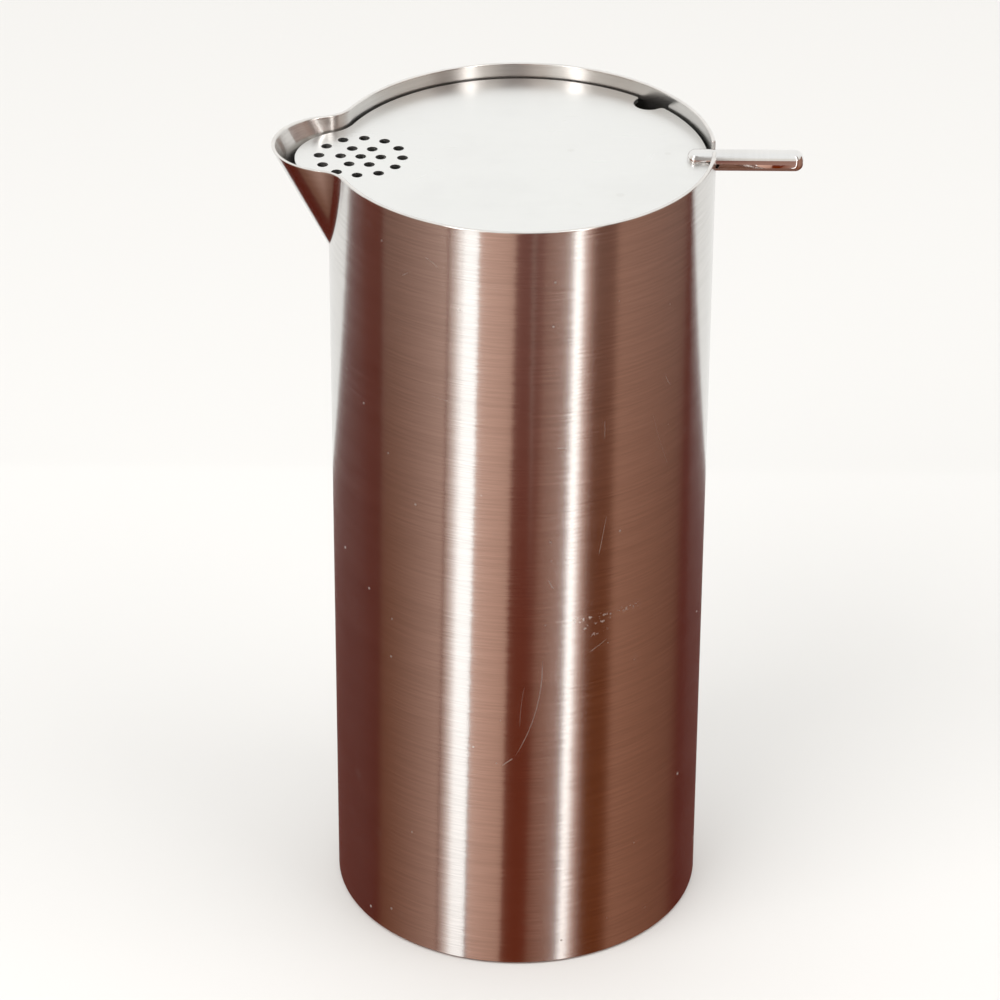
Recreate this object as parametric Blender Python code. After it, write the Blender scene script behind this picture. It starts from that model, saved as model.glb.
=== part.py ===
"""Pouring cocktail mixer of brushed stainless steel with a lift-off strainer lid.

The upright tube stands on the world origin, with its axis along Z. The pouring spout faces -X and
the handle pin of the lid points to +X. Lengths are metres.
"""

import math

import bmesh
import bpy
from mathutils import Matrix, Vector

# ---- Driving dimensions -------------------------------------------------------------------------

# Clearances
WELD_GAP = 0.0003
LID_EDGE_GAP = 0.0008
LID_NOSE_GAP = 0.0024
CUTTER_OVERRUN = 0.004
MERGE_DISTANCE = 0.000001

# Vessel tube
TUBE_RADIUS = 0.050
TUBE_HEIGHT = 0.224
WALL = 0.0010
RIM_EDGE_BREAK = 0.00025
FOOT_EDGE_BREAK = 0.0003
BASE_REVEAL = 0.0005

# Pouring spout
SPOUT_HEIGHT = 0.028
SPOUT_REACH = 0.0146
SPOUT_ARC_RADIUS = 0.0168
SPOUT_RIM_FILLET = 0.0090
SPOUT_FIRST_STEP = 0.06

# Base plate
BASE_THICKNESS = 0.0015
BASE_EDGE_BREAK = 0.0004

# Lid plate
LID_THICKNESS = 0.0012
LID_DROP = 0.004

# Spoon notch in the edge of the lid
NOTCH_RADIUS = 0.004
NOTCH_SETBACK = 0.0009
NOTCH_ANGLE = math.radians(45.0)
NOTCH_LIP_FILLET = 0.0010

# Strainer holes
HOLE_RADIUS = 0.0014
STRAINER_SETBACK = 0.0170
STRAINER_OFFSET = 0.0004
STRAINER_TURN = math.radians(-3.0)
STRAINER_RINGS = ((0.0052, 6), (0.0108, 12))

# Handle pin of the lid
PIN_RADIUS = 0.0028
PIN_TIP_RADIUS = 0.0005
PIN_HOLD = 0.0057
PIN_REACH = 0.02265

# Facets
MAIN_SEGMENTS = 72
SHOULDER_SEGMENTS = 4
MOUTH_SEGMENTS = 10
FILLET_SEGMENTS = 5
LOBE_SEGMENTS = 18
SPOUT_ROWS = 11
LID_SEGMENTS = 96
LID_NOSE_SEGMENTS = 20
SMALL_ARC_SEGMENTS = 5
NOTCH_SEGMENTS = 12
HOLE_SEGMENTS = 12
PIN_SEGMENTS = 24
PIN_END_SEGMENTS = 5
SHOULDER_MARGIN = math.radians(7.0)

# ---- Sizes that follow --------------------------------------------------------------------------

TUBE_INNER_RADIUS = TUBE_RADIUS - WALL
SPOUT_ROOT_Z = TUBE_HEIGHT - SPOUT_HEIGHT
SPOUT_FIRST_Z = SPOUT_ROOT_Z + SPOUT_HEIGHT * SPOUT_FIRST_STEP
LID_TOP_Z = TUBE_HEIGHT - LID_DROP
LID_BOTTOM_Z = LID_TOP_Z - LID_THICKNESS
LID_RADIUS = TUBE_INNER_RADIUS - LID_EDGE_GAP
NOTCH_CENTRE_RADIUS = LID_RADIUS - NOTCH_SETBACK
BASE_RADIUS = TUBE_INNER_RADIUS - WELD_GAP
PIN_AXIS_Z = LID_TOP_Z
PIN_INNER_X = LID_RADIUS - PIN_HOLD
PIN_LENGTH = TUBE_RADIUS + PIN_REACH - PIN_INNER_X


# ---- Materials ----------------------------------------------------------------------------------

def steel(name, colour, roughness):
    """A stainless steel finish."""
    material = bpy.data.materials.new(name)
    material.use_nodes = True
    shader = material.node_tree.nodes["Principled BSDF"]
    shader.inputs["Base Color"].default_value = (*colour, 1.0)
    shader.inputs["Roughness"].default_value = roughness
    shader.inputs["Metallic"].default_value = 1.0
    return material


# ---- Mesh helpers -------------------------------------------------------------------------------

def add_object(name, mesh_builder, material, smooth_angle=math.radians(25.0)):
    """Turn a bmesh into a named object with flat faces and soft curved walls."""
    bmesh.ops.recalc_face_normals(mesh_builder, faces=mesh_builder.faces)
    mesh = bpy.data.meshes.new(name)
    mesh_builder.to_mesh(mesh)
    mesh_builder.free()
    mesh.materials.append(material)
    mesh.shade_smooth()
    mesh.set_sharp_from_angle(angle=smooth_angle)
    part = bpy.data.objects.new(name, mesh)
    bpy.context.scene.collection.objects.link(part)
    return part


def closed_sheet(outer, inner, closed_ring, is_missing):
    """Join an outer and an inner grid of points into one closed sheet of metal.

    Cells for which is_missing(row, column) is true are left open. Every free edge of the sheet gets
    a narrow face between its outer and its inner side.
    """
    builder = bmesh.new()
    outer_verts = [[builder.verts.new(point) for point in row] for row in outer]
    inner_verts = [[builder.verts.new(point) for point in row] for row in inner]
    columns = len(outer[0])
    cells = columns if closed_ring else columns - 1
    edge_uses = {}
    for row in range(len(outer) - 1):
        for column in range(cells):
            if is_missing(row, column):
                continue
            following = (column + 1) % columns
            corners = ((row, column), (row, following), (row + 1, following), (row + 1, column))
            builder.faces.new([outer_verts[r][c] for r, c in corners])
            builder.faces.new([inner_verts[r][c] for r, c in reversed(corners)])
            for start, end in zip(corners, corners[1:] + corners[:1]):
                edge_uses.setdefault(frozenset((start, end)), []).append((start, end))
    for uses in edge_uses.values():
        if len(uses) == 1:
            (r0, c0), (r1, c1) = uses[0]
            builder.faces.new((outer_verts[r1][c1], outer_verts[r0][c0],
                               inner_verts[r0][c0], inner_verts[r1][c1]))
    loose = [vert for vert in builder.verts if not vert.link_faces]
    bmesh.ops.delete(builder, geom=loose, context="VERTS")
    return builder


def extruded_plate(outline, holes, thickness):
    """A flat plate from z = -thickness to 0, with an outline and round holes of (x, y) points."""
    curve = bpy.data.curves.new("plate_outline", "CURVE")
    curve.dimensions = "2D"
    curve.fill_mode = "BOTH"
    curve.extrude = thickness / 2.0
    for loop in [outline] + holes:
        spline = curve.splines.new("POLY")
        spline.points.add(len(loop) - 1)
        for point, (x, y) in zip(spline.points, loop):
            point.co = (x, y, 0.0, 1.0)
        spline.use_cyclic_u = True
    drawing = bpy.data.objects.new("plate_outline", curve)
    bpy.context.scene.collection.objects.link(drawing)
    depsgraph = bpy.context.evaluated_depsgraph_get()
    filled = bpy.data.meshes.new_from_object(drawing.evaluated_get(depsgraph))
    bpy.data.objects.remove(drawing, do_unlink=True)
    builder = bmesh.new()
    builder.from_mesh(filled)
    bmesh.ops.remove_doubles(builder, verts=builder.verts, dist=MERGE_DISTANCE)
    bmesh.ops.translate(builder, verts=builder.verts, vec=(0.0, 0.0, -thickness / 2.0))
    return builder


def arc(centre, radius, start, end, segments):
    """Points along an arc from one angle to another, both ends included."""
    return [(centre[0] + radius * math.cos(start + (end - start) * step / segments),
             centre[1] + radius * math.sin(start + (end - start) * step / segments))
            for step in range(segments + 1)]


def cut(target, cutter):
    """Subtract the cutter from the target and remove the cutter."""
    modifier = target.modifiers.new("cut", "BOOLEAN")
    modifier.operation = "DIFFERENCE"
    modifier.solver = "EXACT"
    modifier.object = cutter
    depsgraph = bpy.context.evaluated_depsgraph_get()
    carved = bpy.data.meshes.new_from_object(target.evaluated_get(depsgraph))
    target.modifiers.clear()
    target.data = carved
    bpy.data.objects.remove(cutter, do_unlink=True)


# ---- Vessel outline -----------------------------------------------------------------------------

def spout_progress(height):
    """How far up the spout a height lies, 0 at its root and 1 at the rim."""
    return min(max((height - SPOUT_ROOT_Z) / SPOUT_HEIGHT, 0.0), 1.0)


def spout_section(height):
    """Lobe centre, fillet radius and fillet centre of the spout at one height, towards -X."""
    progress = spout_progress(height)
    lobe_centre = TUBE_RADIUS + SPOUT_REACH * progress - SPOUT_ARC_RADIUS
    fillet = SPOUT_RIM_FILLET * math.sqrt(progress)
    to_tube = TUBE_RADIUS + fillet
    to_lobe = SPOUT_ARC_RADIUS + fillet
    fillet_x = (to_tube ** 2 + lobe_centre ** 2 - to_lobe ** 2) / (2.0 * lobe_centre)
    fillet_y = math.sqrt(max(to_tube ** 2 - fillet_x ** 2, 0.0))
    return lobe_centre, fillet, (fillet_x, fillet_y)


def seam_half_angle(height):
    """Half the angle of the tube that the spout's seam spans at one height."""
    fillet_x, fillet_y = spout_section(height)[2]
    return math.atan2(fillet_y, fillet_x)


def spout_outline(height, inset):
    """The spout's section from seam to seam at one height, as (x, y) points."""
    lobe_centre, fillet, (fillet_x, fillet_y) = spout_section(height)
    seam = math.atan2(fillet_y, fillet_x)
    lobe_half = math.atan2(fillet_y, fillet_x - lobe_centre)
    bend = arc((fillet_x, fillet_y), fillet + inset,
               seam - math.pi, lobe_half - math.pi, FILLET_SEGMENTS)
    lobe = arc((lobe_centre, 0.0), SPOUT_ARC_RADIUS - inset, lobe_half, -lobe_half, LOBE_SEGMENTS)
    far_bend = [(x, -y) for x, y in reversed(bend)]
    return [(-x, y) for x, y in bend + lobe[1:-1] + far_bend]


def row_heights(first):
    """Heights of the rows of the spout, closer together towards its root."""
    top = TUBE_HEIGHT - RIM_EDGE_BREAK
    rows = []
    for row in range(SPOUT_ROWS + 1):
        share = row / SPOUT_ROWS
        rows.append(first + (top - first) * share ** 2)
    return rows + [TUBE_HEIGHT]


def edge_inset(height):
    """How far the faces draw back at the broken edge of the rim."""
    return RIM_EDGE_BREAK if height >= TUBE_HEIGHT else 0.0


# ---- Vessel -------------------------------------------------------------------------------------

def build_spout(material):
    """The formed lip that carries on the tube's wall outwards to the pouring edge."""
    outer = []
    inner = []
    for height in row_heights(SPOUT_FIRST_Z):
        inset = edge_inset(height)
        outer.append([(x, y, height) for x, y in spout_outline(height, inset)])
        inner.append([(x, y, height) for x, y in spout_outline(height, WALL - inset)])
    builder = closed_sheet(outer, inner, False, lambda row, column: False)
    return add_object("pouring_spout", builder, material)


def mouth_half_angle(height):
    """Half the angle of the tube's spout opening, one weld gap outside the seam."""
    level = max(height, SPOUT_FIRST_Z)
    seam = seam_half_angle(level)
    slope = TUBE_RADIUS * seam / (2.0 * (level - SPOUT_ROOT_Z))
    return seam + WELD_GAP * math.sqrt(1.0 + slope ** 2) / TUBE_RADIUS


def tube_angles(height):
    """Angles of the tube's columns at one height, measured from the spout, mouth first."""
    mouth = mouth_half_angle(height)
    shoulder = mouth_half_angle(TUBE_HEIGHT) + SHOULDER_MARGIN
    across = [-mouth + 2.0 * mouth * step / MOUTH_SEGMENTS for step in range(MOUTH_SEGMENTS)]
    leaving = [mouth + (shoulder - mouth) * step / SHOULDER_SEGMENTS
               for step in range(SHOULDER_SEGMENTS)]
    main_span = 2.0 * (math.pi - shoulder)
    around = [shoulder + main_span * step / MAIN_SEGMENTS for step in range(MAIN_SEGMENTS)]
    returning = [-shoulder + (shoulder - mouth) * step / SHOULDER_SEGMENTS
                 for step in range(SHOULDER_SEGMENTS)]
    return across + leaving + around + returning


def tube_row(height, radius):
    """One ring of points on the tube."""
    return [(-radius * math.cos(angle), radius * math.sin(angle), height)
            for angle in tube_angles(height)]


def build_tube(material):
    """The rolled tube, open at the spout and notched in the rim for the pin."""
    foot = [BASE_REVEAL, BASE_REVEAL + FOOT_EDGE_BREAK]
    heights = foot + row_heights(SPOUT_FIRST_Z - WELD_GAP)
    outer = []
    inner = []
    for height in heights:
        inset = FOOT_EDGE_BREAK if height == BASE_REVEAL else edge_inset(height)
        inner_inset = 0.0 if height == BASE_REVEAL else edge_inset(height)
        outer.append(tube_row(height, TUBE_RADIUS - inset))
        inner.append(tube_row(height, TUBE_INNER_RADIUS + inner_inset))
    mouth_row = len(foot)
    builder = closed_sheet(outer, inner, True,
                           lambda row, column: row >= mouth_row and column < MOUTH_SEGMENTS)
    tube = add_object("body_tube", builder, material)
    cut(tube, pin_notch_cutter())
    return tube


def pin_notch_cutter():
    """A U-shaped bar along X that opens the rim for the pin."""
    radius = PIN_RADIUS + WELD_GAP
    round_bottom = arc((0.0, PIN_AXIS_Z), radius, math.pi, 2.0 * math.pi, PIN_SEGMENTS // 2)
    top = TUBE_HEIGHT + CUTTER_OVERRUN
    profile = round_bottom + [(radius, top), (-radius, top)]
    start = TUBE_INNER_RADIUS - CUTTER_OVERRUN
    builder = bmesh.new()
    face = builder.faces.new([builder.verts.new((start, y, z)) for y, z in profile])
    swept = bmesh.ops.extrude_face_region(builder, geom=[face], use_keep_orig=True)
    moved = [item for item in swept["geom"] if isinstance(item, bmesh.types.BMVert)]
    bmesh.ops.translate(builder, verts=moved, vec=(WALL + 2.0 * CUTTER_OVERRUN, 0.0, 0.0))
    bmesh.ops.recalc_face_normals(builder, faces=builder.faces)
    mesh = bpy.data.meshes.new("pin_notch_cutter")
    builder.to_mesh(mesh)
    builder.free()
    cutter = bpy.data.objects.new("pin_notch_cutter", mesh)
    cutter.hide_render = True
    cutter.display_type = "WIRE"
    bpy.context.scene.collection.objects.link(cutter)
    return cutter


def build_base(material):
    """The round plate welded into the foot of the tube."""
    builder = bmesh.new()
    lifted = Matrix.Translation((0.0, 0.0, BASE_THICKNESS / 2.0))
    bmesh.ops.create_cone(builder, cap_ends=True, segments=LID_SEGMENTS, radius1=BASE_RADIUS,
                          radius2=BASE_RADIUS, depth=BASE_THICKNESS, matrix=lifted)
    lower_rim = [edge for edge in builder.edges
                 if all(vert.co.z < BASE_THICKNESS / 2.0 for vert in edge.verts)]
    bmesh.ops.bevel(builder, geom=lower_rim, offset=BASE_EDGE_BREAK, segments=1, affect="EDGES")
    return add_object("base_plate", builder, material)


# ---- Lid ----------------------------------------------------------------------------------------

def nose_circle():
    """Centre distance and radius of the lid's nose, which touches the shoulders and the nose gap."""
    lobe_centre, fillet, (shoulder_x, shoulder_y) = spout_section(LID_BOTTOM_Z)
    reach = lobe_centre + SPOUT_ARC_RADIUS - WALL - LID_NOSE_GAP
    shoulder = fillet + WALL + LID_EDGE_GAP
    behind = shoulder_x - reach
    radius = (behind ** 2 + shoulder_y ** 2 - shoulder ** 2) / (2.0 * (shoulder - behind))
    return reach - radius, radius


def notch_outline():
    """The spoon notch, anticlockwise along the plate's edge, and half the angle it spans."""
    along, across = notch_lip_centre()
    on_plate = math.atan2(across, along)
    on_notch = math.atan2(across, along - NOTCH_CENTRE_RADIUS)
    lip = arc((along, across), NOTCH_LIP_FILLET, on_notch - math.pi, on_plate, SMALL_ARC_SEGMENTS)
    bowl = arc((NOTCH_CENTRE_RADIUS, 0.0), NOTCH_RADIUS,
               2.0 * math.pi - on_notch, on_notch, NOTCH_SEGMENTS)
    lower_lip = [(x, -y) for x, y in reversed(lip)]
    return rotated(lower_lip + bowl[1:-1] + lip, NOTCH_ANGLE), on_plate


def notch_lip_centre():
    """Centre of the small rounding between the notch and the plate's edge."""
    to_plate = LID_RADIUS - NOTCH_LIP_FILLET
    to_notch = NOTCH_RADIUS + NOTCH_LIP_FILLET
    along = (to_plate ** 2 + NOTCH_CENTRE_RADIUS ** 2 - to_notch ** 2) / (2.0 * NOTCH_CENTRE_RADIUS)
    return along, math.sqrt(to_plate ** 2 - along ** 2)


def rotated(points, angle):
    """Points turned about the origin."""
    cosine = math.cos(angle)
    sine = math.sin(angle)
    return [(x * cosine - y * sine, x * sine + y * cosine) for x, y in points]


def lid_outline():
    """The lid's edge, anticlockwise from the lower side of the spoon notch.

    The shoulders beside the nose follow the spout's inner fillets, which carry the lid.
    """
    notch, notch_half = notch_outline()
    nose_centre, nose_radius = nose_circle()
    fillet, (shoulder_x, shoulder_y) = spout_section(LID_BOTTOM_Z)[1:]
    on_plate = math.atan2(shoulder_y, shoulder_x)
    on_nose = math.atan2(shoulder_y, shoulder_x - nose_centre)
    bend = arc((shoulder_x, shoulder_y), fillet + WALL + LID_EDGE_GAP,
               on_plate - math.pi, on_nose - math.pi, SMALL_ARC_SEGMENTS)
    shoulder = [(-x, y) for x, y in bend]
    far_shoulder = [(x, -y) for x, y in reversed(shoulder)]
    nose = [(-x, y) for x, y in arc((nose_centre, 0.0), nose_radius,
                                    on_nose, -on_nose, LID_NOSE_SEGMENTS)]
    to_shoulder = plate_arc(NOTCH_ANGLE + notch_half, math.pi - on_plate)
    to_notch = plate_arc(math.pi + on_plate, 2.0 * math.pi + NOTCH_ANGLE - notch_half)
    runs = (notch, to_shoulder, shoulder, nose, far_shoulder, to_notch)
    return [point for run in runs for point in run[1:]]


def plate_arc(start, end):
    """Part of the lid's round edge with facets of the common size."""
    segments = max(2, round(LID_SEGMENTS * (end - start) / (2.0 * math.pi)))
    return arc((0.0, 0.0), LID_RADIUS, start, end, segments)


def strainer_holes():
    """Outlines of the strainer holes, one in the middle and two rings around it."""
    nose_centre, nose_radius = nose_circle()
    middle = STRAINER_SETBACK - nose_centre - nose_radius
    centres = [(middle, STRAINER_OFFSET)]
    for ring_radius, count in STRAINER_RINGS:
        for index in range(count):
            angle = STRAINER_TURN + 2.0 * math.pi * index / count
            along = middle + ring_radius * math.cos(angle)
            centres.append((along, STRAINER_OFFSET + ring_radius * math.sin(angle)))
    return [arc(centre, HOLE_RADIUS, 0.0, 2.0 * math.pi, HOLE_SEGMENTS)[:-1]
            for centre in centres]


def build_lid(material):
    """The flat strainer plate that lies inside the rim."""
    builder = extruded_plate(lid_outline(), strainer_holes(), LID_THICKNESS)
    lid = add_object("lid_plate", builder, material)
    lid.location = (0.0, 0.0, LID_TOP_Z)
    return lid


def build_pin(material):
    """The round pin, slit at its inner end to take the edge of the lid plate."""
    corner = PIN_RADIUS - PIN_TIP_RADIUS
    profile = [(0.0, 0.0)]
    profile += arc((corner, PIN_TIP_RADIUS), corner, math.pi, math.pi / 2.0, PIN_END_SEGMENTS)
    profile += [(PIN_LENGTH - x, radius) for x, radius in reversed(profile)]
    builder = bmesh.new()
    verts = [builder.verts.new((x, 0.0, radius)) for x, radius in profile]
    edges = [builder.edges.new(pair) for pair in zip(verts, verts[1:])]
    bmesh.ops.spin(builder, geom=verts + edges, cent=(0.0, 0.0, 0.0), axis=(1.0, 0.0, 0.0),
                   angle=2.0 * math.pi, steps=PIN_SEGMENTS, use_duplicate=False)
    bmesh.ops.remove_doubles(builder, verts=builder.verts, dist=MERGE_DISTANCE)
    pin = add_object("lid_handle_pin", builder, material)
    pin.location = (PIN_INNER_X, 0.0, PIN_AXIS_Z)
    cut(pin, lid_slit_cutter())
    return pin


def lid_slit_cutter():
    """A block that clears the edge of the lid plate out of the pin's inner end."""
    start = PIN_INNER_X - CUTTER_OVERRUN
    end = LID_RADIUS + WELD_GAP
    depth = LID_THICKNESS + 2.0 * WELD_GAP
    size = Vector((end - start, 2.0 * (PIN_RADIUS + CUTTER_OVERRUN), depth))
    middle = Vector(((start + end) / 2.0, 0.0, (LID_TOP_Z + LID_BOTTOM_Z) / 2.0))
    builder = bmesh.new()
    bmesh.ops.create_cube(builder, size=1.0)
    bmesh.ops.scale(builder, verts=builder.verts, vec=size)
    mesh = bpy.data.meshes.new("lid_slit_cutter")
    builder.to_mesh(mesh)
    builder.free()
    cutter = bpy.data.objects.new("lid_slit_cutter", mesh)
    cutter.location = middle
    cutter.hide_render = True
    cutter.display_type = "WIRE"
    bpy.context.scene.collection.objects.link(cutter)
    return cutter


# ---- Assembly -----------------------------------------------------------------------------------

def main():
    """Build the vessel and its lid."""
    for leftover in list(bpy.data.objects):
        bpy.data.objects.remove(leftover, do_unlink=True)
    brushed = steel("brushed_steel", (0.56, 0.53, 0.50), 0.32)
    satin = steel("satin_steel", (0.66, 0.65, 0.63), 0.40)
    polished = steel("polished_steel", (0.72, 0.71, 0.69), 0.14)
    build_tube(brushed)
    build_spout(brushed)
    build_base(brushed)
    build_lid(satin)
    build_pin(polished)


main()
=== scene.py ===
"""Visual model of a pouring cocktail mixer with a lift-off strainer lid.

The vessel is one skin of ground and brushed stainless steel: a straight tube whose wall runs on into a
formed pouring spout. The lid is a flat satin plate with a strainer and a spoon notch, lifted by a
polished pin. Every length is in metres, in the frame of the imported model.
"""

import logging
import math
from dataclasses import dataclass
from enum import Enum
from typing import Callable, Sequence

import bmesh
import bpy
from mathutils import Matrix, Vector


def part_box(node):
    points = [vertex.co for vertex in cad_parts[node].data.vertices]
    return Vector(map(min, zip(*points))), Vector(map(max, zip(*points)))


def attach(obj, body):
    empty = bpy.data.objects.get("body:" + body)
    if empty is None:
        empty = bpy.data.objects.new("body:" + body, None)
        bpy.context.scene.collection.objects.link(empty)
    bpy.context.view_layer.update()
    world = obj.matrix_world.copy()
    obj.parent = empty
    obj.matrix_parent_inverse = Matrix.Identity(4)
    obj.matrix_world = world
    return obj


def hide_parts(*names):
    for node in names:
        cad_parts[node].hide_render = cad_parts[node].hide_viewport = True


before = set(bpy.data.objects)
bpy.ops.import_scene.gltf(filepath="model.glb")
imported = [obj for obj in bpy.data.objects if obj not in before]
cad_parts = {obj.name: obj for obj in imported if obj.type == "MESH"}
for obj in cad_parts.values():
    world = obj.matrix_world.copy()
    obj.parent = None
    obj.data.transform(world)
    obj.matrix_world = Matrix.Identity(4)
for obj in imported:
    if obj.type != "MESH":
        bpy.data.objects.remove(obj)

LOG = logging.getLogger("mixer")
Point2 = tuple[float, float]
Point3 = tuple[float, float, float]
Colour = tuple[float, float, float]
Feed = float | tuple[float, ...] | bpy.types.NodeSocket
MILLIMETRE = 0.001
MERGE_DISTANCE = 0.000001
FULL_TURN = 2.0 * math.pi
ORIGIN = (0.0, 0.0, 0.0)


# ---- Mesh tools ---------------------------------------------------------------------------------

def arc_points(centre: Point2, radius: float, start: float, end: float, segments: int) -> list[Point2]:
    """Points along an arc, both ends included.

    Args:
        centre: Middle of the arc.
        radius: Radius of the arc.
        start: First angle in radians.
        end: Last angle in radians.
        segments: Number of chords.

    Returns:
        The points in order.
    """
    return [
        (
            centre[0] + radius * math.cos(start + (end - start) * step / segments),
            centre[1] + radius * math.sin(start + (end - start) * step / segments),
        )
        for step in range(segments + 1)
    ]


def turned(points: Sequence[Point2], angle: float) -> list[Point2]:
    """Points turned about the origin.

    Args:
        points: The points to turn.
        angle: Angle in radians.

    Returns:
        The turned points.
    """
    cosine, sine = math.cos(angle), math.sin(angle)
    return [(x * cosine - y * sine, x * sine + y * cosine) for x, y in points]


def link_mesh(name: str, mesh: bpy.types.Mesh, material: bpy.types.Material) -> bpy.types.Object:
    """Put a mesh into the scene as a named object.

    Args:
        name: Name of the new object.
        mesh: Its mesh.
        material: Its only material.

    Returns:
        The new object.
    """
    mesh.name = name
    mesh.materials.clear()
    mesh.materials.append(material)
    piece = bpy.data.objects.new(name, mesh)
    bpy.context.scene.collection.objects.link(piece)
    return piece


def mesh_from_builder(builder: bmesh.types.BMesh, sharp_angle: float) -> bpy.types.Mesh:
    """Turn a bmesh into a mesh with soft shading and sharp creases.

    Args:
        builder: The bmesh, which is freed.
        sharp_angle: Faces that meet at more than this angle keep a sharp edge.

    Returns:
        The new mesh.
    """
    bmesh.ops.recalc_face_normals(builder, faces=builder.faces)
    mesh = bpy.data.meshes.new("piece")
    builder.to_mesh(mesh)
    builder.free()
    mesh.shade_smooth()
    mesh.set_sharp_from_angle(angle=sharp_angle)
    return mesh


def lathe(profile: Sequence[Point3], axis: Point3, steps: int) -> bmesh.types.BMesh:
    """Spin a profile once round an axis through the origin.

    Args:
        profile: Points from one end to the other.
        axis: Direction of the axis.
        steps: Number of flats round the turn.

    Returns:
        The turned bmesh.
    """
    builder = bmesh.new()
    verts = [builder.verts.new(point) for point in profile]
    edges = [builder.edges.new(pair) for pair in zip(verts, verts[1:])]
    bmesh.ops.spin(builder, geom=verts + edges, cent=ORIGIN, axis=axis, angle=FULL_TURN, steps=steps,
                   use_duplicate=False)
    bmesh.ops.remove_doubles(builder, verts=builder.verts, dist=MERGE_DISTANCE)
    return builder


def link_cutter(name: str, builder: bmesh.types.BMesh) -> bpy.types.Object:
    """Put a closed solid into the scene, ready to be cut away from a piece.

    Args:
        name: Name of the cutter.
        builder: The bmesh, which is freed.

    Returns:
        The cutter.
    """
    cutter = bpy.data.objects.new(name, mesh_from_builder(builder, math.radians(30.0)))
    bpy.context.scene.collection.objects.link(cutter)
    return cutter


def apply_modifiers(piece: bpy.types.Object) -> None:
    """Replace a piece's mesh by what its modifiers make of it.

    Args:
        piece: The object to bake down.
    """
    depsgraph = bpy.context.evaluated_depsgraph_get()
    result = bpy.data.meshes.new_from_object(piece.evaluated_get(depsgraph))
    piece.modifiers.clear()
    piece.data = result


def carve(piece: bpy.types.Object, cutter: bpy.types.Object) -> None:
    """Subtract a cutter from a piece and remove the cutter.

    Args:
        piece: The object to cut.
        cutter: The closed solid to take away.
    """
    modifier = piece.modifiers.new("carve", "BOOLEAN")
    modifier.operation = "DIFFERENCE"
    modifier.solver = "EXACT"
    modifier.object = cutter
    apply_modifiers(piece)
    bpy.data.objects.remove(cutter, do_unlink=True)


def store_values(mesh: bpy.types.Mesh, name: str, rule: Callable[[Vector], float]) -> None:
    """Store one number per vertex under a name that materials can read.

    Args:
        mesh: The mesh to mark.
        name: Attribute name.
        rule: Gives the number for a vertex position.
    """
    layer = mesh.attributes.new(name, "FLOAT", "POINT")
    layer.data.foreach_set("value", [rule(vertex.co) for vertex in mesh.vertices])


# ---- Node tools ---------------------------------------------------------------------------------

class Socket(Enum):
    """Kinds of socket that a node group offers."""

    VALUE = "NodeSocketFloat"
    VECTOR = "NodeSocketVector"


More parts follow.
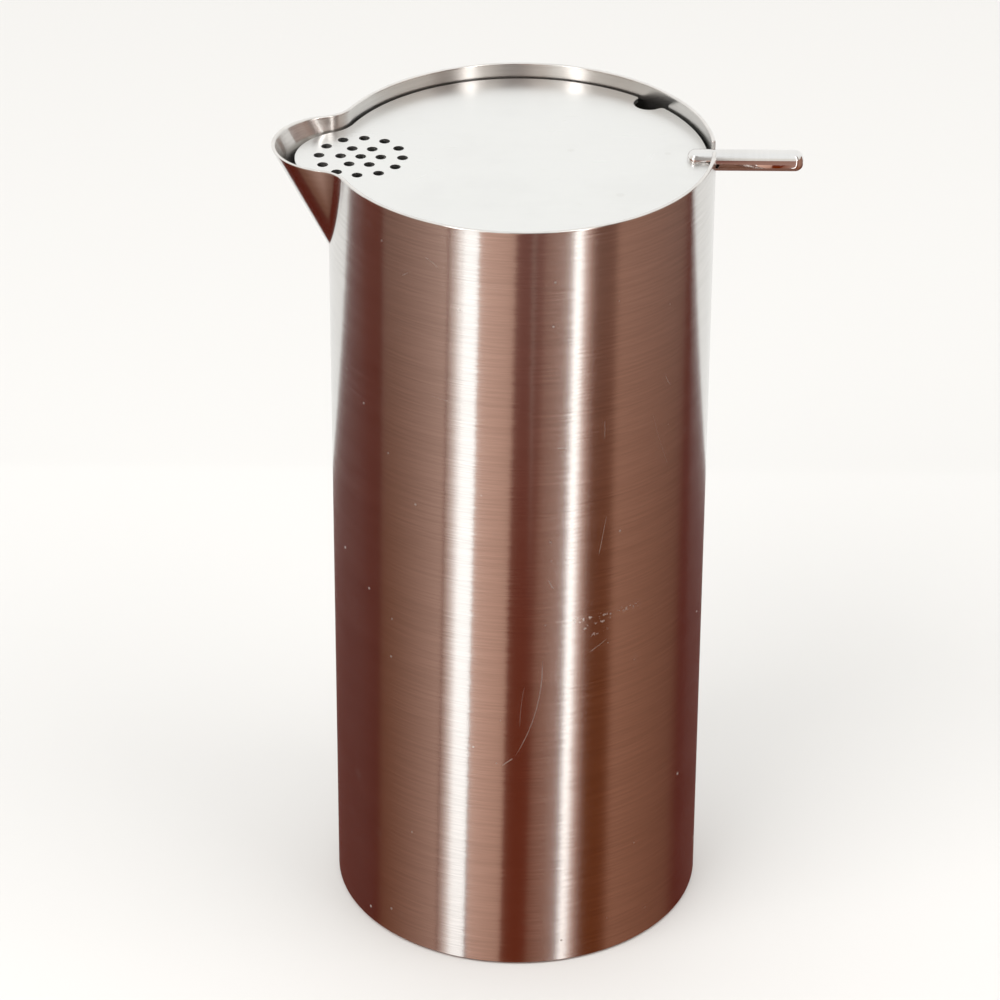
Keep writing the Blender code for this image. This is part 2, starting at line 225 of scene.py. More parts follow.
class Wiring:
    """A small helper that adds and joins nodes in one node tree."""

    def __init__(self, tree: bpy.types.NodeTree) -> None:
        """Work on a tree."""
        self.tree = tree

    def add(self, kind: str, inputs: dict[str | int, Feed] | None = None,
            **settings: object) -> bpy.types.Node:
        """Add a node.

        Args:
            kind: Node type, such as ShaderNodeMath.
            inputs: Socket name or number, to a value or to the socket that feeds it.
            settings: Attributes of the node itself.

        Returns:
            The new node.
        """
        node = self.tree.nodes.new(kind)
        for key, value in settings.items():
            setattr(node, key, value)
        for key, value in (inputs or {}).items():
            if isinstance(value, bpy.types.NodeSocket):
                self.tree.links.new(value, node.inputs[key])
            else:
                node.inputs[key].default_value = value
        return node

    def link(self, source: bpy.types.NodeSocket, target: bpy.types.NodeSocket) -> None:
        """Join an output to an input."""
        self.tree.links.new(source, target)

    def effect(self, tree: bpy.types.NodeTree, inputs: dict[str | int, Feed]) -> bpy.types.NodeOutputs:
        """Place a shared effect with its own values, and give its outputs."""
        return self.add("ShaderNodeGroup", inputs, node_tree=tree).outputs

    def math(self, operation: str, first: Feed, second: Feed = 0.0, clamp: bool = False) -> bpy.types.NodeSocket:
        """Add a math node.

        Args:
            operation: The sum to do.
            first: First number or socket.
            second: Second number or socket.
            clamp: Whether to keep the result between 0 and 1.

        Returns:
            The result's socket.
        """
        node = self.add("ShaderNodeMath", {0: first, 1: second}, operation=operation, use_clamp=clamp)
        return node.outputs[0]

    def vector(self, operation: str, first: Feed, second: Feed = ORIGIN) -> bpy.types.NodeSocket:
        """Add a vector math node.

        Args:
            operation: The sum to do.
            first: First vector or socket.
            second: Second vector or socket, or the number to scale by.

        Returns:
            The result's socket.
        """
        other = "Scale" if operation == "SCALE" else 1
        return self.add("ShaderNodeVectorMath", {0: first, other: second}, operation=operation).outputs[0]

    def noise(self, place: Feed, scale: Feed, detail: float, roughness: float = 0.5) -> bpy.types.NodeSocket:
        """Add a noise.

        Args:
            place: Position to read it at.
            scale: How fine it is.
            detail: Number of finer layers.
            roughness: Share of the finer layers.

        Returns:
            The noise's value.
        """
        settings = {"Vector": place, "Scale": scale, "Detail": detail, "Roughness": roughness}
        return self.add("ShaderNodeTexNoise", settings).outputs["Fac"]

    def ramp(self, value: Feed, low: Feed, high: Feed) -> bpy.types.NodeSocket:
        """Spread a span of values smoothly over 0 to 1.

        Args:
            value: The socket to read.
            low: Value that becomes 0.
            high: Value that becomes 1.

        Returns:
            The result's socket.
        """
        span = {"Value": value, "From Min": low, "From Max": high}
        return self.add("ShaderNodeMapRange", span, interpolation_type="SMOOTHSTEP").outputs["Result"]

    def fade(self, value: Feed, low: Feed, high: Feed) -> bpy.types.NodeSocket:
        """Fall smoothly from 1 at low to 0 at high."""
        return self.math("SUBTRACT", 1.0, self.ramp(value, low, high))

    def blend(self, factor: Feed, first: Feed, second: Feed) -> bpy.types.NodeSocket:
        """Mix two colours.

        Args:
            factor: Share of the second colour.
            first: First colour or socket.
            second: Second colour or socket.

        Returns:
            The mixed colour's socket.
        """
        pair = [(*value, 1.0) if isinstance(value, tuple) else value for value in (first, second)]
        return self.add("ShaderNodeMix", {0: factor, 6: pair[0], 7: pair[1]}, data_type="RGBA").outputs[2]


class EffectGroup(Wiring):
    """The wiring inside a shader node group with named inputs and outputs."""

    def __init__(self, name: str, inputs: dict[str, tuple[Socket, Feed]], outputs: dict[str, Socket]) -> None:
        """Start the group.

        Args:
            name: Name of the group.
            inputs: Kind and starting value of each named input.
            outputs: Kind of each named output.
        """
        super().__init__(bpy.data.node_groups.new(name, "ShaderNodeTree"))
        for label, (kind, value) in inputs.items():
            socket = self.tree.interface.new_socket(name=label, in_out="INPUT", socket_type=kind.value)
            socket.default_value = value
        for label, kind in outputs.items():
            self.tree.interface.new_socket(name=label, in_out="OUTPUT", socket_type=kind.value)
        self.given = self.add("NodeGroupInput").outputs
        self.result = self.add("NodeGroupOutput").inputs


def new_material(name: str) -> tuple[bpy.types.Material, Wiring, bpy.types.Node]:
    """Start a material.

    Args:
        name: Name of the material.

    Returns:
        The material, its wiring and its main shader.
    """
    material = bpy.data.materials.new(name)
    material.use_nodes = True
    return material, Wiring(material.node_tree), material.node_tree.nodes["Principled BSDF"]


class SurfaceEffects:
    """The surface effects that the finishes share, each a node group built once."""

    def __init__(self) -> None:
        """Build every effect."""
        self.grain = self._brushed_grain()
        self.hairlines = self._hairlines()
        self.scratch = self._scratch()
        self.stains = self._stains()
        self.edge_polish = self._edge_polish()
        self.brush_tilt = self._brush_tilt()

    def worn_edges(self, wires: Wiring, place: bpy.types.NodeSocket) -> bpy.types.NodeSocket:
        """Wear bright the edges that a mesh marks.

        Args:
            wires: Wiring of the material.
            place: Socket with the position on the piece.

        Returns:
            Socket with the mask of the wear.
        """
        edge = wires.add("ShaderNodeAttribute", attribute_name=EDGE_MARK).outputs["Fac"]
        return wires.effect(self.edge_polish, {"Vector": place, "Edge": edge})["Mask"]

    @staticmethod
    def _brushed_grain() -> bpy.types.NodeTree:
        """Fine parallel brush lines, drawn out along the directions that Stretch makes small.

        Returns:
            The group, with Lines, the fine lines, and Bands, broader streaks.
        """
        group = EffectGroup(
            "brushed_grain",
            {"Vector": (Socket.VECTOR, ORIGIN), "Stretch": (Socket.VECTOR, (20.0, 20.0, 3000.0)),
             "Band Share": (Socket.VALUE, 0.08)},
            {"Lines": Socket.VALUE, "Bands": Socket.VALUE},
        )
        stretched = group.vector("MULTIPLY", group.given["Vector"], group.given["Stretch"])
        slow = group.vector("SCALE", stretched, group.given["Band Share"])
        group.link(group.noise(stretched, 1.0, 3.0, 0.65), group.result["Lines"])
        group.link(group.noise(slow, 1.0, 2.0), group.result["Bands"])
        return group.tree

    @staticmethod
    def _hairlines() -> bpy.types.NodeTree:
        """Sparse curved hairline scratches, cut from the level lines of a noise.

        Returns:
            The group, with Mask.
        """
        group = EffectGroup(
            "hairlines",
            {"Vector": (Socket.VECTOR, ORIGIN), "Scale": (Socket.VALUE, 30.0), "Width": (Socket.VALUE, 0.002),
             "Amount": (Socket.VALUE, 0.5)},
            {"Mask": Socket.VALUE},
        )
        given = group.given
        level = group.noise(given["Vector"], given["Scale"], 1.0, 0.4)
        line = group.fade(group.math("ABSOLUTE", group.math("SUBTRACT", level, 0.5)), 0.0, given["Width"])
        shifted = group.vector("ADD", given["Vector"], (3.7, 1.9, 5.3))
        patch = group.noise(shifted, group.math("MULTIPLY", given["Scale"], 2.3), 1.0)
        least = group.math("SUBTRACT", 0.75, group.math("MULTIPLY", given["Amount"], 0.3))
        mask = group.math("MULTIPLY", line, group.ramp(patch, least, 0.78), clamp=True)
        group.link(mask, group.result["Mask"])
        return group.tree

    @staticmethod
    def _scratch() -> bpy.types.NodeTree:
        """One bowed scratch on the tube, placed by its angle round the tube and its height.

        Returns:
            The group, with Mask.
        """
        group = EffectGroup(
            "single_scratch",
            {"Along": (Socket.VALUE, 0.0), "Height": (Socket.VALUE, 0.0), "Centre Along": (Socket.VALUE, 0.0),
             "Centre Height": (Socket.VALUE, 0.1), "Tilt": (Socket.VALUE, 0.3), "Bow": (Socket.VALUE, 0.0),
             "Length": (Socket.VALUE, 0.02), "Width": (Socket.VALUE, 0.0002), "Depth": (Socket.VALUE, 1.0)},
            {"Mask": Socket.VALUE},
        )
        given = group.given
        across = group.math("SUBTRACT", given["Along"], given["Centre Along"])
        up = group.math("SUBTRACT", given["Height"], given["Centre Height"])
        cosine = group.math("COSINE", given["Tilt"])
        sine = group.math("SINE", given["Tilt"])
        local_up = group.math("ADD", group.math("MULTIPLY", up, cosine), group.math("MULTIPLY", across, sine))
        local_across = group.math("SUBTRACT", group.math("MULTIPLY", across, cosine),
                                  group.math("MULTIPLY", up, sine))
        bowed = group.math("MULTIPLY", group.math("MULTIPLY", local_up, local_up), given["Bow"])
        off_line = group.math("ABSOLUTE", group.math("SUBTRACT", local_across, bowed))
        half = group.math("MULTIPLY", given["Length"], 0.5)
        body = group.fade(off_line, 0.0, given["Width"])
        ends = group.fade(group.math("ABSOLUTE", local_up), group.math("MULTIPLY", half, 0.6), half)
        mask = group.math("MULTIPLY", group.math("MULTIPLY", body, ends), given["Depth"], clamp=True)
        group.link(mask, group.result["Mask"])
        return group.tree

    @staticmethod
    def _stains() -> bpy.types.NodeTree:
        """Dried water spots and faint blotches.

        Returns:
            The group, with Spots, small rings, and Blotches, broad soft patches.
        """
        group = EffectGroup(
            "water_marks",
            {"Vector": (Socket.VECTOR, ORIGIN), "Spot Scale": (Socket.VALUE, 160.0),
             "Blotch Scale": (Socket.VALUE, 25.0), "Coverage": (Socket.VALUE, 0.3),
             "Spot Size": (Socket.VALUE, 0.30)},
            {"Spots": Socket.VALUE, "Blotches": Socket.VALUE},
        )
        given = group.given
        cells = group.add("ShaderNodeTexVoronoi", {"Vector": given["Vector"], "Scale": given["Spot Scale"]})
        chooser = group.add("ShaderNodeSeparateColor", {"Color": cells.outputs["Color"]})
        chosen = group.math("LESS_THAN", chooser.outputs["Red"], given["Coverage"])
        size = group.math("MULTIPLY", chooser.outputs["Green"], given["Spot Size"])
        spot = group.fade(cells.outputs["Distance"], group.math("MULTIPLY", size, 0.6), size)
        blotch = group.noise(given["Vector"], given["Blotch Scale"], 4.0, 0.6)
        group.link(group.math("MULTIPLY", spot, chosen, clamp=True), group.result["Spots"])
        group.link(group.ramp(blotch, 0.45, 0.7), group.result["Blotches"])
        return group.tree

    @staticmethod
    def _edge_polish() -> bpy.types.NodeTree:
        """Broken-up bright wear along edges that a mesh marks.

        Returns:
            The group, with Mask.
        """
        group = EffectGroup(
            "edge_polish",
            {"Vector": (Socket.VECTOR, ORIGIN), "Edge": (Socket.VALUE, 0.0), "Break Up": (Socket.VALUE, 0.35)},
            {"Mask": Socket.VALUE},
        )
        gaps = group.ramp(group.noise(group.given["Vector"], 260.0, 3.0), 0.35, 0.7)
        loss = group.math("MULTIPLY", gaps, group.given["Break Up"])
        group.link(group.math("SUBTRACT", group.given["Edge"], loss, clamp=True), group.result["Mask"])
        return group.tree

    @staticmethod
    def _brush_tilt() -> bpy.types.NodeTree:
        """Tilt the surface a little along the brush strokes, so bright reflections get ragged sides.

        Returns:
            The group, with Normal.
        """
        group = EffectGroup(
            "brush_tilt",
            {"Vector": (Socket.VECTOR, ORIGIN), "Along": (Socket.VECTOR, (1.0, 0.0, 0.0)),
             "Stretch": (Socket.VECTOR, (130.0, 130.0, 2300.0)), "Amount": (Socket.VALUE, 0.05)},
            {"Normal": Socket.VECTOR},
        )
        stretched = group.vector("MULTIPLY", group.given["Vector"], group.given["Stretch"])
        strokes = group.noise(stretched, 1.0, 2.0, 0.6)
        lean = group.math("MULTIPLY", group.math("SUBTRACT", strokes, 0.5), group.given["Amount"])
        facing = group.add("ShaderNodeNewGeometry").outputs["Normal"]
        leaning = group.vector("ADD", facing, group.vector("SCALE", group.given["Along"], lean))
        group.link(group.vector("NORMALIZE", leaning), group.result["Normal"])
        return group.tree


# ---- Finishes -----------------------------------------------------------------------------------

EDGE_MARK = "edge_mark"
BRUSH_RELIEF = 0.00002


@dataclass(frozen=True)
class Scratch:
    """One scratch on the tube wall, seen from outside, with its lengths in millimetres.

    Along is measured round the tube from its front, positive to the right, and height from the ground. Tilt is
    in degrees from upright, and sag is how far the ends lie aside of the middle. A broken scratch is a scuff
    that only leaves ticks.
    """

    along: float
    height: float
    tilt: float
    sag: float
    length: float
    width: float
    depth: float
    broken: bool = False

    @property
    def bow(self) -> float:
        """Sideways offset, in metres, for each square metre of way from the middle."""
        return self.sag * MILLIMETRE / (0.5 * self.length * MILLIMETRE) ** 2


SCRATCHES = (
    Scratch(5.0, 83.0, 13.0, -2.4, 33.5, 0.16, 0.90),
    Scratch(-2.5, 66.5, 50.0, 0.0, 4.0, 0.18, 1.00),
    Scratch(1.0, 84.0, 5.0, 0.3, 14.0, 0.10, 0.55),
    Scratch(24.5, 109.5, 90.0, 0.0, 24.0, 1.10, 1.00, broken=True),
    Scratch(21.5, 107.5, 80.0, 0.0, 10.0, 0.80, 1.00, broken=True),
    Scratch(22.0, 104.5, 80.0, 0.0, 6.0, 0.80, 0.80, broken=True),
    Scratch(9.0, 109.0, 85.0, 0.0, 6.0, 0.60, 0.70, broken=True),
    Scratch(22.0, 100.5, 60.0, 0.0, 6.0, 0.14, 0.90),
    Scratch(8.5, 121.5, -25.0, 0.0, 3.0, 0.12, 0.70),
    Scratch(-23.0, 213.0, -60.0, -0.2, 4.5, 0.12, 0.60),
    Scratch(-31.0, 207.5, 55.0, 0.0, 2.5, 0.12, 0.60),
    Scratch(22.5, 165.5, 0.0, 0.0, 6.0, 0.12, 0.60),
    Scratch(22.5, 134.0, 10.0, 0.0, 12.5, 0.12, 0.70),
    Scratch(11.0, 162.0, -85.0, 0.0, 2.5, 0.10, 0.60),
    Scratch(-21.0, 174.5, -85.0, 0.0, 5.5, 0.08, 0.40),
    Scratch(40.5, 156.5, -20.0, 0.5, 22.0, 0.10, 0.30),
    Scratch(43.0, 173.0, -30.0, 0.3, 4.5, 0.12, 0.60),
)


@dataclass(frozen=True)
class BrushedSteel:
    """Stainless steel brushed round the tube, with scratches, stains and a bright rim."""

    name: str
    colour: Colour
    dark_colour: Colour
    roughness: float
    anisotropy: float
    radius: float
    scratches: tuple[Scratch, ...]
    raggedness: float = 0.03

    def build(self, effects: SurfaceEffects) -> bpy.types.Material:
        """Make the material.

        Args:
            effects: The shared surface effects.

        Returns:
            The material.
        """
        material, wires, shader = new_material(self.name)
        place = wires.add("ShaderNodeTexCoord").outputs["Object"]
        grain = wires.effect(effects.grain, {"Vector": place, "Stretch": (60.0, 60.0, 2400.0)})
        marks = wires.effect(effects.stains, {"Vector": place, "Coverage": 0.05})
        specks = wires.effect(effects.stains, {"Vector": place, "Spot Scale": 170.0, "Coverage": 0.50,
                                               "Spot Size": 0.09})
        hair = wires.effect(effects.hairlines, {"Vector": place, "Scale": 45.0, "Amount": 0.20})
        worn = effects.worn_edges(wires, place)
        scored = self._scratches(wires, effects, place)
        scored = wires.math("MAXIMUM", scored, wires.math("MULTIPLY", specks["Spots"], 0.8))
        scored = wires.math("MAXIMUM", scored, wires.math("MULTIPLY", hair["Mask"], 0.15))
        tone = wires.math("ADD", wires.math("MULTIPLY", grain["Lines"], 0.80),
                          wires.math("MULTIPLY", grain["Bands"], 0.20))
        bright = tuple(min(channel * 1.25, 1.0) for channel in self.colour)
        base = wires.blend(wires.ramp(tone, 0.3, 0.7), self.dark_colour, self.colour)
        base = wires.blend(wires.math("MULTIPLY", worn, 0.8), base, bright)
        base = wires.blend(wires.math("MULTIPLY", scored, 0.8), base, (0.95, 0.93, 0.90))
        wires.link(base, shader.inputs["Base Color"])
        rough = wires.math("ADD", self.roughness - 0.03, wires.math("MULTIPLY", tone, 0.06))
        rough = wires.math("ADD", rough, wires.math("MULTIPLY", marks["Spots"], 0.03))
        rough = wires.math("ADD", rough, wires.math("MULTIPLY", scored, 0.50))
        rough = wires.math("SUBTRACT", rough, wires.math("MULTIPLY", worn, 0.08), clamp=True)
        wires.link(rough, shader.inputs["Roughness"])
        tangent = wires.add("ShaderNodeTangent", direction_type="RADIAL", axis="Z").outputs["Tangent"]
        strokes = {"Vector": place, "Along": tangent, "Amount": self.raggedness}
        tilted = wires.effect(effects.brush_tilt, strokes)
        relief = wires.math("SUBTRACT", grain["Lines"], wires.math("MULTIPLY", scored, 2.0))
        bump = wires.add("ShaderNodeBump", {"Height": relief, "Strength": 0.08, "Distance": BRUSH_RELIEF,
                                           "Normal": tilted["Normal"]})
        wires.link(bump.outputs["Normal"], shader.inputs["Normal"])
        wires.link(tangent, shader.inputs["Tangent"])
        shader.inputs["Metallic"].default_value = 1.0
        shader.inputs["Anisotropic"].default_value = self.anisotropy
        shader.inputs["Anisotropic Rotation"].default_value = 0.25
        return material

    def _scratches(self, wires: Wiring, effects: SurfaceEffects,
                   place: bpy.types.NodeSocket) -> Feed:
        """Lay the finish's own scratches on the tube.

        Args:
            wires: Wiring of the material.
            effects: The shared surface effects.
            place: Socket with the position on the tube.

        Returns:
            Socket with the mask of all scratches.
        """
        parts = wires.add("ShaderNodeSeparateXYZ", {0: place}).outputs
        angle = wires.math("ARCTAN2", parts["X"], wires.math("MULTIPLY", parts["Y"], -1.0))
        along = wires.math("MULTIPLY", angle, self.radius)
        ticked = wires.ramp(wires.noise(place, 1100.0, 1.0), 0.56, 0.66)
        total: Feed = 0.0
        for scratch in self.scratches:
            mask = wires.effect(effects.scratch, {
                "Along": along,
                "Height": parts["Z"],
                "Centre Along": scratch.along * MILLIMETRE,
                "Centre Height": scratch.height * MILLIMETRE,
                "Tilt": math.radians(scratch.tilt),
                "Bow": scratch.bow,
                "Length": scratch.length * MILLIMETRE,
                "Width": scratch.width * MILLIMETRE,
                "Depth": scratch.depth,
            })["Mask"]
            if scratch.broken:
                mask = wires.math("MULTIPLY", mask, ticked)
            total = wires.math("MAXIMUM", total, mask)
        return total


@dataclass(frozen=True)
class SatinSteel:
    """Stainless plate with a soft, even satin and faint water marks."""

    name: str
    colour: Colour
    dark_colour: Colour
    roughness: float
    stretch: Point3
    bump: float

    def build(self, effects: SurfaceEffects) -> bpy.types.Material:
        """Make the material.

        Args:
            effects: The shared surface effects.

        Returns:
            The material.
        """
        material, wires, shader = new_material(self.name)
        place = wires.add("ShaderNodeTexCoord").outputs["Object"]
        grain = wires.effect(effects.grain, {"Vector": place, "Stretch": self.stretch})
        marks = wires.effect(effects.stains, {"Vector": place, "Coverage": 0.04})
        hair = wires.effect(effects.hairlines, {"Vector": place, "Amount": 0.25})
        worn = effects.worn_edges(wires, place)
        tone = wires.math("ADD", wires.math("MULTIPLY", grain["Lines"], 0.5),
                          wires.math("MULTIPLY", marks["Blotches"], 0.5))
        base = wires.blend(wires.ramp(tone, 0.1, 0.9), self.colour, self.dark_colour)
        base = wires.blend(wires.math("MULTIPLY", worn, 0.7), base, (0.86, 0.85, 0.83))
        base = wires.blend(wires.math("MULTIPLY", marks["Spots"], 0.10), base, (0.45, 0.42, 0.38))
        wires.link(base, shader.inputs["Base Color"])
        rough = wires.math("ADD", self.roughness - 0.04, wires.math("MULTIPLY", tone, 0.08))
        rough = wires.math("SUBTRACT", rough, wires.math("MULTIPLY", worn, 0.15))
        rough = wires.math("SUBTRACT", rough, wires.math("MULTIPLY", hair["Mask"], 0.10), clamp=True)
        wires.link(rough, shader.inputs["Roughness"])
        relief = wires.math("SUBTRACT", grain["Lines"], wires.math("MULTIPLY", hair["Mask"], 0.8))
        bump = wires.add("ShaderNodeBump", {"Height": relief, "Strength": self.bump, "Distance": BRUSH_RELIEF})
        wires.link(bump.outputs["Normal"], shader.inputs["Normal"])
        shader.inputs["Metallic"].default_value = 1.0
        return material


# ---- Vessel -------------------------------------------------------------------------------------

@dataclass
class Vessel:
    """The tube with its formed spout, ground flush, and the plate in its foot."""

    radius: float
    height: float
    foot: float
    wall: float = 0.0010
    spout_height: float = 0.028
    spout_reach: float = 0.0146
    spout_radius: float = 0.0168
    rim_fillet: float = 0.0090
    rim_rounding: float = 0.00035
    foot_rounding: float = 0.0003
    pin_radius: float = 0.0028
    pin_gap: float = 0.0003
    pin_height: float = 0.220
    main_segments: int = 288
    side_segments: int = 12
    bend_segments: int = 10
    lobe_segments: int = 40
    spout_rows: int = 30
    rounding_steps: int = 4

    @property
    def spout_root(self) -> float:
        """Height of the lowest point of the spout."""
        return self.height - self.spout_height

    def section(self, height: float) -> tuple[float, float, Point2]:
        """Lobe centre, bend radius and bend centre of the spout at one height.

        Args:
            height: Height above the ground.

        Returns:
            Distance of the lobe's centre, radius of the bend and its centre, towards the spout.
        """
        progress = min(max((height - self.spout_root) / self.spout_height, 0.0), 1.0)
        lobe_centre = self.radius + self.spout_reach * progress - self.spout_radius
        bend = self.rim_fillet * math.sqrt(progress)
        to_tube = self.radius + bend
        to_lobe = self.spout_radius + bend
        along = (to_tube ** 2 + lobe_centre ** 2 - to_lobe ** 2) / (2.0 * lobe_centre)
        return lobe_centre, bend, (along, math.sqrt(max(to_tube ** 2 - along ** 2, 0.0)))

    def ring(self, height: float, inset: float) -> list[Point3]:
        """One closed ring of the skin.

        Args:
            height: Height of the ring.
            inset: Distance inwards from the outer face.

        Returns:
            Points round the ring, spout first.
        """
        lobe_centre, bend, (along, across) = self.section(height)
        seam = math.atan2(across, along)
        lobe_half = math.atan2(across, along - lobe_centre)
        near = arc_points((along, across), bend + inset, lobe_half - math.pi, seam - math.pi,
                          self.bend_segments)
        lobe = arc_points((lobe_centre, 0.0), self.spout_radius - inset, -lobe_half, lobe_half,
                          self.lobe_segments)
        far = [(x, -y) for x, y in reversed(near)]
        tube_radius = self.radius - inset
        shoulder = math.radians(32.0)
        angles = [seam + (shoulder - seam) * step / self.side_segments for step in range(1, self.side_segments)]
        around = [shoulder + (FULL_TURN - 2.0 * shoulder) * step / self.main_segments
                  for step in range(self.main_segments + 1)]
        angles = angles + around + [FULL_TURN - angle for angle in reversed(angles)]
        tube = [(tube_radius * math.cos(angle), tube_radius * math.sin(angle)) for angle in angles]
        return [(-x, y, height) for x, y in far[:-1] + lobe[:-1] + near + tube]

    def levels(self) -> list[tuple[float, float]]:
        """Heights and insets of the rings, from the foot's outside over the rim to its inside.

        Returns:
            Pairs of height and inset.
        """
        top = self.height - self.rim_rounding
        rising = [self.foot + self.foot_rounding, self.foot + 2.0 * self.foot_rounding, 0.004, 0.020, 0.060,
                  0.110, 0.160, 0.190, self.spout_root]
        spread = [self.spout_root + (top - 0.0003 - self.spout_root) * (step / self.spout_rows) ** 1.7
                  for step in range(1, self.spout_rows + 1)]
        outer = rising + spread
        foot_corner = [(self.foot + self.foot_rounding * (1.0 - math.sin(turn)),
                        self.foot_rounding * (1.0 - math.cos(turn)))
                       for turn in self._quarter(reverse=True)]
        rim_out = [(top + self.rim_rounding * math.sin(turn), self.rim_rounding * (1.0 - math.cos(turn)))
                   for turn in self._quarter(reverse=False)]
        rim_in = [(height, self.wall - inset) for height, inset in reversed(rim_out)]
        inner = [(height, self.wall) for height in reversed(outer)]
        return foot_corner[:-1] + [(height, 0.0) for height in outer] + rim_out + rim_in + inner + [
            (self.foot, self.wall)]

    def _quarter(self, reverse: bool) -> list[float]:
        """Angles of a quarter turn.

        Args:
            reverse: Whether to run from a quarter turn down to nothing.

        Returns:
            The angles.
        """
        turns = [0.5 * math.pi * step / self.rounding_steps for step in range(self.rounding_steps + 1)]
        return list(reversed(turns)) if reverse else turns

    def build_skin(self, material: bpy.types.Material) -> bpy.types.Object:
        """Make the tube and the spout as one skin.

        Args:
            material: The finish.

        Returns:
            The vessel's skin.
        """
        builder = bmesh.new()
        rings = [[builder.verts.new(point) for point in self.ring(height, inset)]
                 for height, inset in self.levels()]
        count = len(rings[0])
        for lower, upper in zip(rings, rings[1:] + rings[:1]):
            for index in range(count):
                following = (index + 1) % count
                builder.faces.new((lower[index], lower[following], upper[following], upper[index]))
        bmesh.ops.remove_doubles(builder, verts=builder.verts, dist=MERGE_DISTANCE)
        mesh = mesh_from_builder(builder, math.radians(50.0))
        skin = link_mesh("vessel_skin", mesh, material)
        carve(skin, self._notch_cutter())
        self._restore_round(skin.data)
        store_values(skin.data, EDGE_MARK, self._edge_value)
        return skin

    def _edge_value(self, place: Vector) -> float:
        """How much a point is worn bright: at the rim and the foot.

        Args:
            place: The point.

        Returns:
            0 for none, 1 for all.
        """
        rim = 1.0 - min(abs(place.z - self.height) / (self.rim_rounding * 1.2), 1.0)
        foot = 1.0 - min(abs(place.z - self.foot) / (self.foot_rounding * 2.0), 1.0)
        return max(rim, foot * 0.6)

    def _restore_round(self, mesh: bpy.types.Mesh) -> None:
        """Give the straight tube its exact round shading again after the notch is cut.

        Args:
            mesh: The skin.
        """
        edge_zone = self.height - self.rim_rounding - 0.0001
        normals = [Vector(ORIGIN)] * len(mesh.loops)
        for polygon in mesh.polygons:
            for loop_index in polygon.loop_indices:
                place = mesh.vertices[mesh.loops[loop_index].vertex_index].co
                if place.x < 0.0 and place.z > self.spout_root - 0.001:
                    continue
                if place.z > edge_zone or place.z < self.foot + self.foot_rounding:
                    continue
                radial = Vector((place.x, place.y, 0.0)).normalized()
                facing = radial.dot(polygon.normal)
                if abs(facing) > 0.9:
                    normals[loop_index] = radial if facing > 0.0 else -radial
        mesh.normals_split_custom_set(normals)

    def _notch_cutter(self) -> bpy.types.Object:
        """Make the U-shaped bar that opens the rim for the pin.

        Returns:
            The cutter.
        """
        reach = self.pin_radius + self.pin_gap
        bottom = arc_points((0.0, self.pin_height), reach, math.pi, FULL_TURN, 24)
        lip = 0.0005
        top = self.height
        profile = bottom + [(reach, top - lip), (reach + lip, top + lip), (-reach - lip, top + lip),
                            (-reach, top - lip)]
        builder = bmesh.new()
        face = builder.faces.new([builder.verts.new((self.radius - 0.005, y, z)) for y, z in profile])
        swept = bmesh.ops.extrude_face_region(builder, geom=[face], use_keep_orig=True)
        moved = [item for item in swept["geom"] if isinstance(item, bmesh.types.BMVert)]
        bmesh.ops.translate(builder, verts=moved, vec=(0.010, 0.0, 0.0))
        return link_cutter("notch_cutter", builder)

    def build_base(self, material: bpy.types.Material) -> bpy.types.Object:
        """Make the plate in the foot, turned with a rounded lower edge and a soft corner inside.

        Args:
            material: The finish.

        Returns:
            The base plate.
        """
        low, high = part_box("base_plate")
        radius, top, corner = high.x, high.z, 0.0004
        profile = [(0.0, low.z), (radius - 0.012, low.z), (radius - 3.0 * corner, low.z)]
        profile += [(radius - corner + x, low.z + corner + z)
                    for x, z in arc_points((0.0, 0.0), corner, -0.5 * math.pi, 0.0, 5)]
        profile += [(radius, top - 0.00015), (radius - 0.0001, top), (radius - 0.002, top - 0.0001),
                    (radius - 0.006, top - 0.0003), (0.0, top - 0.0003)]
        builder = lathe([(x, 0.0, z) for x, z in profile], (0.0, 0.0, 1.0), 144)
        base = link_mesh("base_plate_turned", mesh_from_builder(builder, math.radians(35.0)), material)
        store_values(base.data, EDGE_MARK, lambda place: 1.0 if math.hypot(place.x, place.y) > radius - corner
                     and place.z < top * 0.5 else 0.0)
        return base


# ---- Lid ----------------------------------------------------------------------------------------

